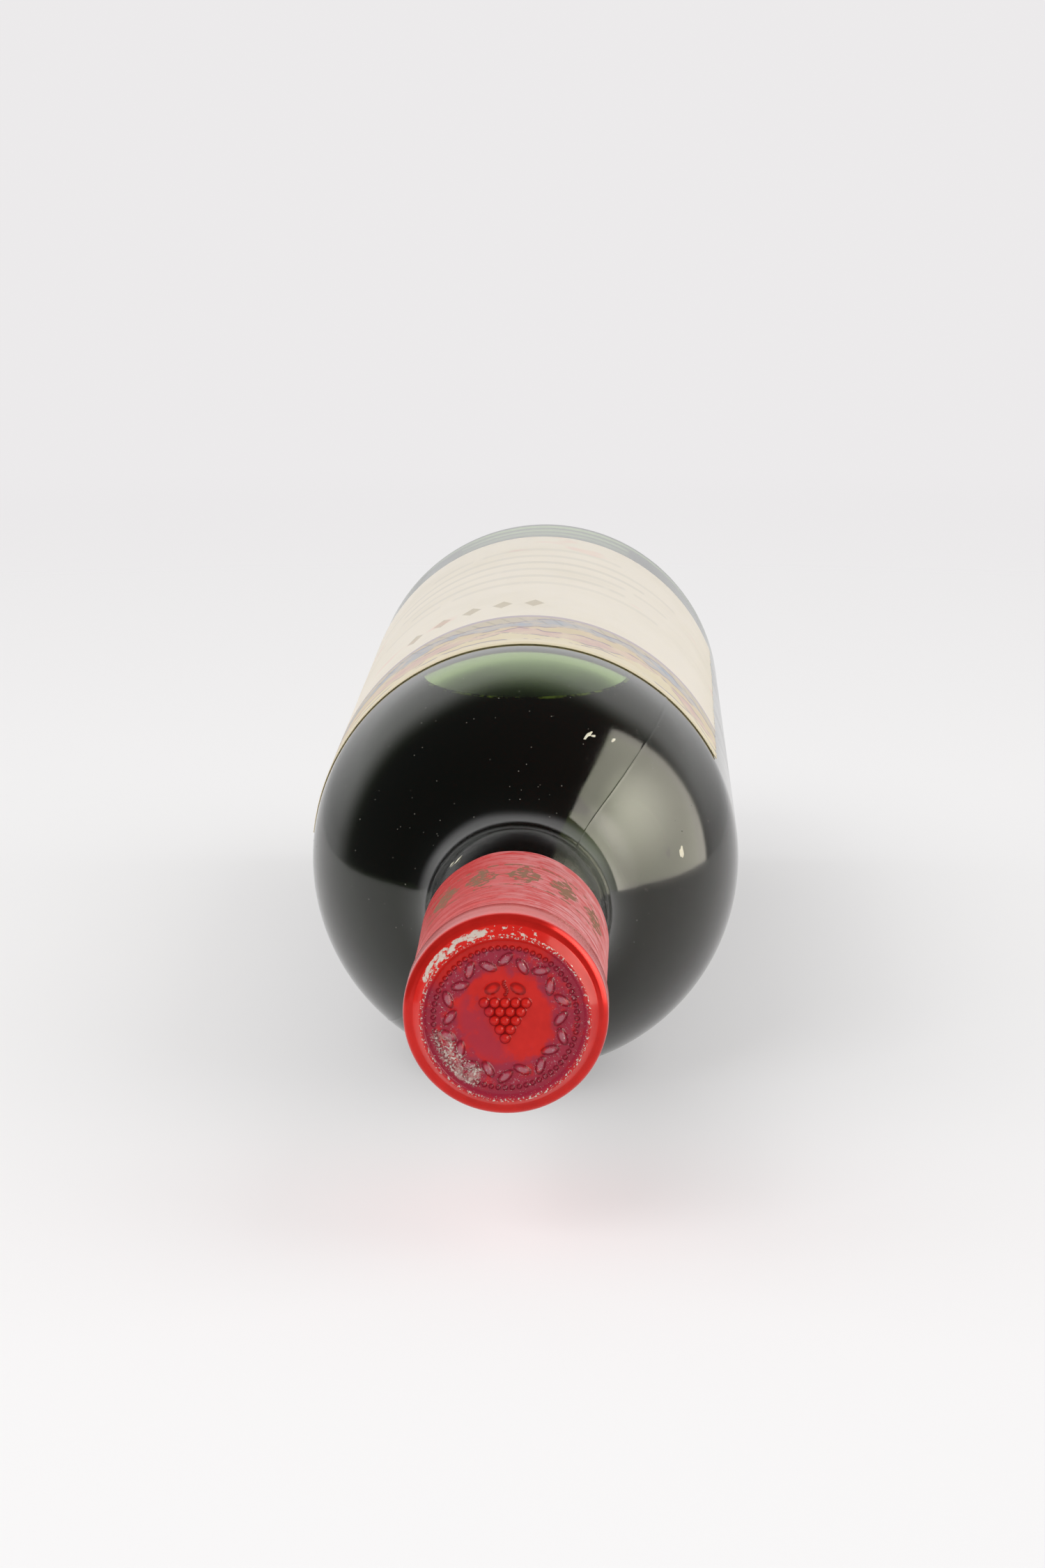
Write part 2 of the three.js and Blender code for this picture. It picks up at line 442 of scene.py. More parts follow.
def wineMesh():
    w = wineSettings
    profile = [p for p in hollowProfile(-w["intoWall"]) if p[0] < w["endHeight"]]
    profile += [(w["endHeight"], profile[-1][1]), (w["endHeight"], 0)]
    mesh = revolve("wine", profile, evenTurns(w["sides"]))
    bm = bmesh.new()
    bm.from_mesh(mesh)
    everything = bm.verts[:] + bm.edges[:] + bm.faces[:]
    cut = bmesh.ops.bisect_plane(bm, geom=everything, dist=1e-7, plane_co=(0, 0, w["level"] * mm),
                                 plane_no=(0, 0, 1), clear_outer=True)
    rim = [e for e in cut["geom_cut"] if isinstance(e, bmesh.types.BMEdge)]
    surface = bmesh.ops.contextual_create(bm, geom=rim)["faces"]
    bmesh.ops.inset_region(bm, faces=surface, thickness=w["meniscus"] * mm, depth=-w["meniscusDrop"] * mm)
    bmesh.ops.recalc_face_normals(bm, faces=bm.faces)
    bm.to_mesh(mesh)
    bm.free()
    mesh.shade_smooth()
    mesh.set_sharp_from_angle(angle=math.radians(w["sharpAngle"]))
    return mesh


# nearly black, with a painted pale glint colour in places at the thin edge that climbs the glass
def deepRedWine():
    w = wineSettings
    material, tree, shader = newMaterial("deepRedWine")
    spot = useGroup(tree, coordinates, {}).outputs["Millimetres"]
    colour = blend(tree, speckle(tree, spot, 0.02, 2.0), w["dark"], w["light"])
    up = addNode(tree, "ShaderNodeSeparateXYZ", {0: spot}).outputs[2]
    # painted glints: a pale edge colour under the level, broken by noise
    start, full = w["glintBelow"]
    broken = fade(tree, speckle(tree, spot, 0.35, 3.0), 0.45, 0.6)
    paintedGlints = both(tree, fade(tree, up, w["level"] - start, w["level"] - full), broken)
    colour = blend(tree, paintedGlints, colour, w["edge"])
    setInputs(tree, shader, {"Base Color": colour, "Roughness": 0.02, "IOR": 1.34})
    return material


wine = newPiece("wineFill", wineMesh(), deepRedWine())
print("wine made,", len(wine.data.polygons), "faces")


# the capsule

capsuleSettings = {
    "foil": 0.3,
    "edgeHeight": (baseY - capsuleHigh.y) / mm,
    "skirtRadius": 15.15, "creaseHeight": 286.6, "creaseRadius": 14.75, "creaseDepth": 0.1,
    "bandRadius": (capsuleHigh.x - capsuleLow.x) / 2 / mm, "bandLow": 287.7, "bandTop": 295.8,
    "bandRounding": 1.4, "undersideRounding": 0.5, "grooveRadius": 13.85,
    "lipRadius": 12.45, "lipRounding": 0.45, "discSink": 0.7,
    "sides": 240, "skirtSteps": (110, 24), "sharpAngle": 45,  # steps outside and inside
    "dents": 0.09, "creases": 0.05, "sag": 0.04, "edgeWave": 0.5,  # how far the foil wanders
    "hoops": (279.4, 283.2), "hoopDepth": 0.09, "hoopWidth": 0.35,  # fine pressed lines round the skirt
}


# from the lower edge of the skirt up to the middle of the top
def capsuleOutline(inset):
    c = capsuleSettings
    disc = totalLength - c["discSink"] - inset
    crease = c["creaseRadius"] - inset
    band = c["bandRadius"] - inset
    groove = c["grooveRadius"] - inset
    rounding = c["bandRounding"] - inset
    under = c["undersideRounding"]
    points = runPoints((c["edgeHeight"], c["skirtRadius"] - inset),
                       (c["creaseHeight"] - 1.2, crease + 0.12), c["skirtSteps"][0 if inset == 0 else 1])
    points += [(c["creaseHeight"] - 0.5, crease), (c["creaseHeight"], crease - c["creaseDepth"]),
               (c["creaseHeight"] + 0.4, crease)]
    points += arcPoints((c["bandLow"] + under, band - under), under, -80, 0, 6)
    points += [(c["bandLow"] + 2.6, band - 0.02), (c["bandLow"] + 4.6, band)]
    points += arcPoints((c["bandTop"] - c["bandRounding"], band - rounding), rounding, 0, 80, 10)
    points += [(c["bandTop"] - inset, groove + 0.1), (c["bandTop"] + 0.1 - inset, groove)]
    if inset == 0:
        points += arcPoints((totalLength - c["lipRounding"], c["lipRadius"]), c["lipRounding"], 20, 165, 12)
    points += runPoints((disc, c["lipRadius"] - c["lipRounding"] - 0.25), (disc, 0), 34)
    return points


# a place on a ring, for noise that closes on itself
def ringSpot(turn, wide, along):
    return Vector((math.cos(turn) * wide, math.sin(turn) * wide, along))


# the foil was crimped by hand: shallow dents, and a lower edge that wanders
def crimpedFoil(height, radius, turn):
    c = capsuleSettings
    skirt = smoothStep(c["creaseHeight"] + 1, c["creaseHeight"] - 6, height)
    dent = noise.noise(ringSpot(turn, 1.6, height * 0.05) * 1.3) * c["dents"] * (0.35 + 0.65 * skirt)
    crease = noise.noise(ringSpot(turn, 3, height * 0.6)) * c["creases"] * skirt
    for hoop in c["hoops"]:
        crease -= c["hoopDepth"] * math.exp(-((height - hoop) / c["hoopWidth"]) ** 2)
    lowest = smoothStep(c["edgeHeight"] + 4, c["edgeHeight"], height)
    wave = noise.noise(ringSpot(turn, 2.2, 7.5)) * c["edgeWave"] * lowest
    onDisc = smoothStep(totalLength - 1.6, totalLength - 0.8, height) * smoothStep(12.5, 9.0, radius)
    sag = noise.noise(ringSpot(turn, radius * 0.25, 3.3)) * c["sag"] * onDisc
    inward = smoothStep(2.0, 11.0, radius)
    return height + wave + sag, radius + (dent + crease) * inward


foilPaint = {
    "lacquer": rgb(220, 42, 34), "lacquerDark": rgb(180, 26, 22),
    "bloom": rgb(216, 156, 156), "bloomThin": rgb(196, 48, 46), "dirt": rgb(126, 60, 54),
    "oldGold": rgb(138, 104, 84), "patina": rgb(156, 42, 62), "speck": rgb(186, 152, 160),
    # the foot colour is painted shade round the foot of each raised form on the top
    "footShade": rgb(84, 14, 20), "crust": rgb(214, 200, 190), "bareMetal": rgb(216, 202, 190),
}

foilWear = {
    "hoopGrain": (0.12, 2.4, 0.12), "brushGrain": (0.3, 0.5, 0.3),  # streaks round the skirt
    "bloomTurn": 20.0, "bloomShare": (0.1, 0.95),  # most bloom on the right, least on the left
    "lozengeHeight": 265.5, "lozengeHalf": (13.0, 6.5), "ruleAway": 7.0,  # gilt, in degrees and millimetres
    # broken patches: grain, cover, softness and shift of the noise
    "gilt": (0.8, 0.58, 0.05, 11.0), "specks": (1.5, 0.42, 0.14, 3.0),
    "crustGrains": (2.6, 0.52, 0.1, 7.0), "crustFilm": (0.5, 0.53, 0.2, 19.0),
    "flakes": (0.7, 0.54, 0.06, 24.0), "chips": (1.0, 0.44, 0.04, 33.0),
    "rubbed": (2.4, 0.46, 0.04, 9.0), "pits": (3.4, 0.37, 0.04, 15.0),
    # turns: middle, half width and soft edge in degrees
    "giltTurns": (85.0, 60.0, 25.0), "cleanTurns": (105.0, 40.0, 18.0), "stainTurns": (214.0, 30.0, 60.0),
    "crustTurns": (222.0, 16.0, 46.0), "flakeTurns": (128.0, 22.0, 18.0), "chipTurns": (88.0, 18.0, 8.0),
    # rings on the top: inner radius, outer radius and soft edge
    "speckRing": (7.6, 11.4, 1.0), "crustRing": (8.8, 11.2, 1.6), "flakeRing": (12.9, 13.7, 0.5),
    "rubbedRing": (12.3, 12.8, 0.25), "pitRing": (8.0, 12.4, 1.0),
}


# 1 within some degrees of a turn, fading to 0 beyond them
def sector(tree, turn, middle, half, soft):
    off = calc(tree, "SUBTRACT", turn, middle)
    wrapped = calc(tree, "ABSOLUTE", calc(tree, "WRAP", off, 180.0, -180.0))
    return fade(tree, wrapped, half + soft, half)


def ringBand(tree, radius, low, high, soft):
    return both(tree, fade(tree, radius, low - soft, low), fade(tree, radius, high + soft, high))


def wornRedFoil():
    material, tree, shader = newMaterial("wornRedFoil")
    paint = foilPaint
    wear = foilWear
    c = capsuleSettings
    where = useGroup(tree, coordinates, {})
    height, radius, turn = (where.outputs[name] for name in ("Height", "Radius", "Turn"))
    spot = where.outputs["Millimetres"]
    skirt = fade(tree, height, c["bandLow"] - 0.4, c["bandLow"] - 1.6)
    top = fade(tree, height, c["bandTop"] - 0.2, c["bandTop"] + 0.2)

    def patch(name, *areas):
        grain, cover, softness, shift = wear[name]
        vector = vectorCalc(tree, "ADD", spot, (shift, shift, shift))
        return useGroup(tree, patches, {"Vector": vector, "Area": both(tree, *areas), "Grain": grain,
                                        "Cover": cover, "Softness": softness}).outputs[0]

    def turns(name, value=turn):
        return sector(tree, value, *wear[name])

    def ring(name, value=radius):
        return both(tree, top, ringBand(tree, value, *wear[name]))

    colour = blend(tree, speckle(tree, spot, 0.35, 3.0), paint["lacquer"], paint["lacquerDark"])

    # chalky bloom on the skirt, thicker to the right, in hoops
    hoops = vectorCalc(tree, "MULTIPLY", spot, wear["hoopGrain"])
    brushed = vectorCalc(tree, "MULTIPLY", spot, wear["brushGrain"])
    streaks = share(tree, calc(tree, "ADD", speckle(tree, hoops, 1.0, 5.0, 0.6),
                               speckle(tree, brushed, 1.0, 6.0, 0.7)), 0.5)
    facing = calc(tree, "COSINE", calc(tree, "RADIANS", calc(tree, "SUBTRACT", turn, wear["bloomTurn"])))
    side = remap(tree, facing, -0.1, 0.9, *wear["bloomShare"])
    bloom = both(tree, skirt, side, remap(tree, streaks, 0.44, 0.56, 0.1, 1.0))
    colour = blend(tree, both(tree, skirt, fade(tree, streaks, 0.25, 0.5)), colour, paint["bloomThin"])
    colour = blend(tree, bloom, colour, paint["bloom"])
    grime = both(tree, skirt, fade(tree, speckle(tree, hoops, 0.7, 4.0, 0.7, 17.0), 0.52, 0.68))
    colour = blend(tree, share(tree, grime, 0.35), colour, paint["dirt"])

    # worn gilt lozenges round the skirt, between two rules
    halfTurn, halfHeight = wear["lozengeHalf"]
    lozengeTurn = calc(tree, "PINGPONG", calc(tree, "ADD", turn, 360.0), halfTurn)
    lozengeHeight = away(tree, height, wear["lozengeHeight"])
    lozenge = calc(tree, "ADD", calc(tree, "DIVIDE", lozengeTurn, halfTurn),
                   calc(tree, "DIVIDE", lozengeHeight, halfHeight))
    lozenge = stray(tree, lozenge, speckle(tree, spot, 0.6, 2.0), 0.9)
    rule = fade(tree, away(tree, lozengeHeight, wear["ruleAway"]), 0.5, 0.35)
    printed = most(tree, fade(tree, lozenge, 1.0, 0.9), share(tree, rule, 0.9))
    gilt = patch("gilt", skirt, printed, turns("giltTurns"))
    colour = blend(tree, gilt, colour, paint["oldGold"])

    # violet patina on the top, outside a ragged middle field
    ragged = stray(tree, radius, speckle(tree, spot, 0.22, 4.0, 0.6, 21.0), 7.0)
    bruise = both(tree, top, fade(tree, ragged, 6.4, 7.8), fade(tree, radius, 12.9, 12.1))
    keep = rest(tree, both(tree, turns("cleanTurns"), fade(tree, radius, 10.3, 11.0)))
    swirl = stray(tree, turn, speckle(tree, spot, 0.35, 5.0, 0.65, 13.0), 220.0)
    stainedField = both(tree, top, fade(tree, radius, 1.5, 3.5), fade(tree, radius, 8.0, 6.0),
                        turns("stainTurns", swirl))
    stain = most(tree, both(tree, bruise, keep), share(tree, stainedField, 0.7))
    cloudy = fade(tree, speckle(tree, spot, 0.5, 4.0, 0.6, 5.0), 0.2, 0.5)
    colour = blend(tree, both(tree, stain, cloudy), colour, paint["patina"])

    # grey violet specks over the patina
    specks = patch("specks", ring("speckRing", ragged), fade(tree, radius, 12.4, 11.6), keep)
    colour = blend(tree, share(tree, specks, 0.75), colour, paint["speck"])

    # painted shade round the foot of each raised form, and lighter tops on the leaves, partly wear and
    # partly painted highlight
    lift = calc(tree, "SUBTRACT", height, totalLength - c["discSink"])
    within = both(tree, top, fade(tree, radius, 11.5, 11.3))
    foot = both(tree, within, fade(tree, lift, 0.05, 0.1), fade(tree, lift, 0.42, 0.2))
    # painted shade: darkens the foot of each raised form
    colour = blend(tree, share(tree, foot, 0.55), colour, paint["footShade"])
    # tops of the leaves lightened: partly wear, partly painted highlight
    wornAndLitTops = both(tree, within, fade(tree, lift, 0.4, 0.6), fade(tree, radius, 6.0, 6.6))
    colour = blend(tree, share(tree, wornAndLitTops, 0.32), colour, paint["speck"])

    # pale crust low on the left: grains on a thin film
    crustArea = both(tree, ring("crustRing"), turns("crustTurns"))
    crust = most(tree, patch("crustGrains", crustArea), share(tree, patch("crustFilm", crustArea), 0.7))
    colour = blend(tree, crust, colour, paint["crust"])

    # bare metal: flaked off beyond the lip on the upper left, and rubbed through along the lip
    flakes = patch("flakes", ring("flakeRing"), turns("flakeTurns"))
    chips = patch("chips", ring("flakeRing"), turns("chipTurns"))
    rubbed = patch("rubbed", ring("rubbedRing"))
    pits = patch("pits", ring("pitRing"), keep)
    bare = most(tree, flakes, rubbed, chips, pits)
    colour = blend(tree, bare, colour, paint["bareMetal"])

    # chalk and crust are matt, lacquer has a coat, and the clean band shows the metal under it
    matt = most(tree, share(tree, bloom, 0.8), crust, gilt, share(tree, specks, 0.5))
    coat = both(tree, rest(tree, matt), remap(tree, skirt, 0.0, 1.0, 0.3, 0.02))
    cleanBand = both(tree, rest(tree, top), rest(tree, skirt))
    raised = calc(tree, "ADD", share(tree, crust, 0.7), share(tree, gilt, 0.25))
    raised = calc(tree, "SUBTRACT", raised, share(tree, bare, 0.4))
    grit = both(tree, speckle(tree, spot, 3.0, 4.0, 0.6), remap(tree, matt, 0.0, 1.0, 0.06, 0.56))
    bump = addNode(tree, "ShaderNodeBump", {"Height": calc(tree, "ADD", raised, grit), "Strength": 0.55,
                                            "Distance": 0.25 * mm})
    setInputs(tree, shader, {
        "Base Color": colour, "Roughness": remap(tree, matt, 0.0, 1.0, 0.24, 0.75),
        "Metallic": most(tree, share(tree, bare, 0.2), share(tree, cleanBand, 0.45)),
        "Coat Weight": coat, "Coat Roughness": 0.12, "Specular IOR Level": 0.05,
        "Normal": bump.outputs[0],
    })
    return material


foilMaterial = wornRedFoil()
capsuleLoop = capsuleOutline(0)[::-1] + capsuleOutline(capsuleSettings["foil"])
capsuleMesh = revolve("capsule", capsuleLoop, evenTurns(capsuleSettings["sides"]), crimpedFoil,
                      capsuleSettings["sharpAngle"])
capsule = newPiece("capsuleFoil", capsuleMesh, foilMaterial)
print("capsule made,", len(capsule.data.polygons), "faces")


# the embossing on the capsule: beads, a wreath of leaves and a bunch of grapes

embossSettings = {
    # sizes are half length, half width and rise
    "beads": 64, "beadRing": 10.7, "bead": (0.52, 0.52, 0.42),
    "leaves": 20, "leafRing": 8.6, "leafStagger": 0.35, "leaf": (1.7, 0.85, 0.75), "leafTilt": 40,
    "grapes": (5, 4, 3, 2, 1), "grapePitch": 1.55, "rowPitch": 0.87, "grape": (0.98, 0.98, 0.85),
    "grapeDrop": 0.4,
    "tendril": 7, "tendrilStep": 0.32, "tendrilSway": 0.25, "tendrilDot": (0.4, 0.4, 0.3),
    "bigLeaf": (1.6, 1.05, 0.5), "bigLeafAt": (1.9, 1.1), "bigLeafTilt": 0.5,
    "detail": 15, "sink": 0.04, "discReach": 1.05, "bellPower": 1.4,
}


# each form on the top: across, up, turn and size
def embossPoints():
    e = embossSettings
    points = []
    for turn in evenTurns(e["beads"]):
        points.append((e["beadRing"] * math.cos(turn), e["beadRing"] * math.sin(turn), 0, e["bead"]))
    for i, turn in enumerate(evenTurns(e["leaves"])):
        way = 1 if i % 2 else -1
        tilt = turn + math.radians(90 + way * e["leafTilt"])
        ring = e["leafRing"] + way * e["leafStagger"]
        points.append((ring * math.cos(turn), ring * math.sin(turn), tilt, e["leaf"]))
    rows = len(e["grapes"])
    rowStep = e["grapePitch"] * e["rowPitch"]
    for row, count in enumerate(e["grapes"]):
        z = ((rows - 1) / 2 - row) * rowStep - e["grapeDrop"]
        for i in range(count):
            points.append(((i - (count - 1) / 2) * e["grapePitch"], z, 0, e["grape"]))
    stalk = rows * rowStep / 2
    for i in range(e["tendril"]):
        sway = e["tendrilSway"] * math.sin(i * 0.9)
        points.append((sway, stalk + 0.2 + i * e["tendrilStep"], 0, e["tendrilDot"]))
    for side in (-1, 1):
        x, z = e["bigLeafAt"]
        points.append((side * x, stalk + z, -side * e["bigLeafTilt"], e["bigLeaf"]))
    return points


# a soft mound is a small round sheet raised in the middle; one is set on every point
def embossTree():
    e = embossSettings
    tree, start, end = newGeometryTree(
        "embossing", [("Detail", "NodeSocketInt"), ("Material", "NodeSocketMaterial")])
    sheet = addNode(tree, "GeometryNodeMeshGrid", {
        "Size X": 2 * mm, "Size Y": 2 * mm,
        "Vertices X": start.outputs["Detail"], "Vertices Y": start.outputs["Detail"]})
    spot = addNode(tree, "GeometryNodeInputPosition").outputs[0]
    reach = calc(tree, "DIVIDE", lengthOf(tree, spot), mm)
    beyond = calc(tree, "GREATER_THAN", reach, e["discReach"])
    disc = addNode(tree, "GeometryNodeDeleteGeometry", {
        "Geometry": sheet.outputs["Mesh"], "Selection": beyond}, domain="FACE")
    inner = calc(tree, "SUBTRACT", 1.0, calc(tree, "MULTIPLY", reach, reach), clamp=True)
    bell = calc(tree, "POWER", inner, e["bellPower"])
    rise = combine(tree, z=share(tree, bell, mm))
    mound = addNode(tree, "GeometryNodeSetPosition", {"Geometry": disc.outputs[0], "Offset": rise})
    size = addNode(tree, "GeometryNodeInputNamedAttribute", {"Name": "size"}, data_type="FLOAT_VECTOR")
    turn = addNode(tree, "GeometryNodeInputNamedAttribute", {"Name": "turn"}, data_type="FLOAT")
    spin = combine(tree, math.pi / 2, share(tree, turn.outputs[0], -1.0))
    spread = addNode(tree, "GeometryNodeInstanceOnPoints", {
        "Points": start.outputs["Geometry"], "Instance": mound.outputs["Geometry"],
        "Rotation": spin, "Scale": size.outputs[0]})
    real = addNode(tree, "GeometryNodeRealizeInstances", {0: spread.outputs[0]})
    smooth = addNode(tree, "GeometryNodeSetShadeSmooth", {"Geometry": real.outputs[0]})
    painted = addNode(tree, "GeometryNodeSetMaterial", {
        "Geometry": smooth.outputs[0], "Material": start.outputs["Material"]})
    tree.links.new(painted.outputs[0], end.inputs[0])
    return tree


# runs a node tree on a mesh and gives back a plain mesh
def grow(name, mesh, tree, values):
    seedObject = bpy.data.objects.new(name, mesh)
    scene.collection.objects.link(seedObject)
    modifier = seedObject.modifiers.new(tree.name, "NODES")
    modifier.node_group = tree
    for item in tree.interface.items_tree:
        if item.item_type == "SOCKET" and item.in_out == "INPUT" and item.name in values:
            modifier[item.identifier] = values[item.name]
    bpy.context.view_layer.update()
    evaluated = seedObject.evaluated_get(bpy.context.evaluated_depsgraph_get())
    grown = bpy.data.meshes.new_from_object(evaluated)
    grown.name = name
    seedObject.modifiers.clear()
    bpy.data.objects.remove(seedObject)
    return grown


def embossSeeds():
    points = embossPoints()
    disc = baseY - (totalLength - capsuleSettings["discSink"] - embossSettings["sink"]) * mm
    mesh = bpy.data.meshes.new("embossSeeds")
    mesh.from_pydata([(x * mm, disc, (axisHeight + z) * mm) for x, z, turn, size in points], [], [])
    mesh.attributes.new("size", "FLOAT_VECTOR", "POINT")
    mesh.attributes.new("turn", "FLOAT", "POINT")
    for i, (x, z, turn, size) in enumerate(points):
        mesh.attributes["size"].data[i].vector = size
        mesh.attributes["turn"].data[i].value = turn
    return mesh


embossMesh = grow("capsuleEmbossing", embossSeeds(), embossTree(), {
    "Detail": embossSettings["detail"], "Material": foilMaterial})
embossing = newPiece("capsuleEmbossing", embossMesh, foilMaterial)
print("embossing made,", len(embossing.data.polygons), "faces")


# the label

labelSettings = {
    "width": 97.0, "low": 29.6, "top": 179.0, "gap": 0.1, "paper": 0.15,
    "turn": 97.5, "lean": 0.029,  # middle of the sheet, and how far its sides lean
    "deckle": 0.4, "deckleEvery": 4.2, "lift": 0.05, "cockle": 0.03,
    "columns": 150, "rows": 180,
}


# a sheet bent round the body, with cut edges that waver; its UV map lies flat
def labelSheet():
    s = labelSettings
    length = s["top"] - s["low"]
    bm = bmesh.new()
    uvLayer = bm.loops.layers.uv.new("sheet")
    grid = {}
    flat = {}
    for row in range(s["rows"] + 1):
        v = row / s["rows"]
        height = s["low"] + length * v
        scallop = math.sin(2 * math.pi * height / s["deckleEvery"]) * 0.6
        leaning = s["lean"] * (height - s["low"] - length / 2)
        for column in range(s["columns"] + 1):
            u = column / s["columns"]
            outwards = abs(2 * u - 1)
            edge = smoothStep(0.94, 1.0, outwards) * math.copysign(1, u - 0.5)
            wave = scallop + noise.noise(Vector((height * 0.35, u, 0.4)))
            across = (u - 0.5) * s["width"] + leaning + edge * wave * s["deckle"]
            loose = 0.5 + 0.5 * noise.noise(Vector((height * 0.05, u * 3, 2.0)))
            corner = smoothStep(0.93, 1.0, outwards) * loose
            cockle = s["cockle"] * noise.noise(Vector((across * 0.08, height * 0.05, 1.0)))
            radius = bodyRadius + s["gap"] + s["paper"] + max(0.0, cockle) + s["lift"] * corner
            turn = math.radians(s["turn"]) + across / (bodyRadius + s["gap"])
            grid[row, column] = bm.verts.new(place(height, radius, turn))
            flat[row, column] = (1 - u, v)  # from left to right as seen from the capsule
    for row in range(s["rows"]):
        for column in range(s["columns"]):
            keys = [(row, column), (row, column + 1), (row + 1, column + 1), (row + 1, column)]
            face = bm.faces.new([grid[key] for key in keys])
            for loop, key in zip(face.loops, keys):
                loop[uvLayer].uv = flat[key]
    bm.faces.ensure_lookup_table()
    middle = bm.faces[len(bm.faces) // 2]
    middle.normal_update()
    if middle.normal.z < 0:
        bmesh.ops.reverse_faces(bm, faces=bm.faces)
    mesh = meshFrom(bm, "label")
    mesh.shade_smooth()
    return mesh


labelPaint = {
    "paper": rgb(240, 227, 208), "aged": rgb(220, 207, 184), "margin": rgb(224, 206, 172),
    "rule": rgb(178, 164, 176), "ink": rgb(150, 144, 134), "brown": rgb(140, 122, 94),
    "stain": rgb(236, 184, 172), "line": rgb(150, 134, 150), "vine": rgb(128, 120, 110),
    # ridges of hills: millimetres below the top edge, swell, and colour
    "hills": ((6.0, 5.0, rgb(222, 205, 172)), (11.0, 7.0, rgb(208, 176, 170)),
              (16.0, 7.0, rgb(212, 196, 162)), (21.0, 8.0, rgb(168, 174, 186)),
              (27.0, 6.0, rgb(204, 190, 166))),
    "artTop": 2.5, "artBottom": 32.0, "vineTop": 22.0, "vinePitch": 1.5,
    "lozenges": {"below": 50.0, "pitch": 6.0, "half": (2.0, 4.5), "reach": (-21.0, 9.0)},
    # rows of plain bars: millimetres below the top edge, half width, strength
    "bars": ((78.0, 30.0, 0.11), (88.0, 22.0, 0.15), (98.0, 32.0, 0.12),
             (108.0, 26.0, 0.18), (118.0, 34.0, 0.14), (128.0, 20.0, 0.11)),
    "barHalf": 1.3,
}


# hills in water colour, each ridge in front of the last, with thin drawn lines
def paintedHills(tree, colour, across, down):
    p = labelPaint
    spot = combine(tree, across, down)
    art = both(tree, fade(tree, down, p["artTop"], p["artTop"] + 1.5),
               fade(tree, down, p["artBottom"] + 0.2, p["artBottom"]))
    wash = speckle(tree, spot, 0.16, 5.0, 0.7, 4.0)
    strength = remap(tree, wash, 0.3, 0.65, 0.15, 1.0)
    colour = blend(tree, share(tree, art, 0.7), colour, p["hills"][0][2])
    for i, (below, swell, tint) in enumerate(p["hills"]):
        along = combine(tree, across, 20.0 * i)
        crest = stray(tree, below, speckle(tree, along, 0.07, 3.0), 3.0 * swell)
        ridge = calc(tree, "SUBTRACT", down, crest)
        colour = blend(tree, both(tree, art, fade(tree, ridge, 0.0, 0.8), strength), colour, tint)
        line = fade(tree, calc(tree, "ABSOLUTE", ridge), 0.7, 0.3)
        drawn = both(tree, art, line, fade(tree, wash, 0.42, 0.55))
        colour = blend(tree, share(tree, drawn, 0.7), colour, p["line"])
    slanted = calc(tree, "MULTIPLY_ADD", down, 0.35, across)
    vines = calc(tree, "PINGPONG", slanted, p["vinePitch"])
    rows = both(tree, art, fade(tree, vines, 0.4, 0.2), fade(tree, down, p["vineTop"], p["vineTop"] + 3.0),
                fade(tree, wash, 0.42, 0.5))
    colour = blend(tree, share(tree, rows, 0.22), colour, p["vine"])
    rule = both(tree, fade(tree, down, p["artBottom"] - 0.2, p["artBottom"]),
                fade(tree, down, p["artBottom"] + 2.2, p["artBottom"] + 1.7))
    return blend(tree, share(tree, rule, 0.85), colour, p["rule"])


# a row of brown lozenges under the picture, off to the left, and rows of plain bars lower down
def lozengesAndBars(tree, colour, across, down):
    p = labelPaint
    row = p["lozenges"]
    lozengeAcross = calc(tree, "PINGPONG", across, row["pitch"] / 2)
    lozengeDown = away(tree, down, row["below"])
    lozenge = calc(tree, "ADD", calc(tree, "DIVIDE", lozengeAcross, row["half"][0]),
                   calc(tree, "DIVIDE", lozengeDown, row["half"][1]))
    left, right = row["reach"]
    lozenges = both(tree, fade(tree, lozenge, 1.1, 0.8), fade(tree, across, left - 0.1, left),
                    fade(tree, across, right + 0.1, right))
    colour = blend(tree, share(tree, lozenges, 0.42), colour, p["brown"])
    for below, half, strength in p["bars"]:
        bar = fade(tree, away(tree, down, below), p["barHalf"] + 0.6, p["barHalf"])
        shifted = combine(tree, across, below * 3.1)
        gaps = fade(tree, speckle(tree, shifted, 0.12, 1.0), 0.34, 0.38)
        ends = fade(tree, calc(tree, "ABSOLUTE", across), half + 1.0, half)
        colour = blend(tree, share(tree, both(tree, bar, gaps, ends), strength), colour, p["ink"])
    return colour


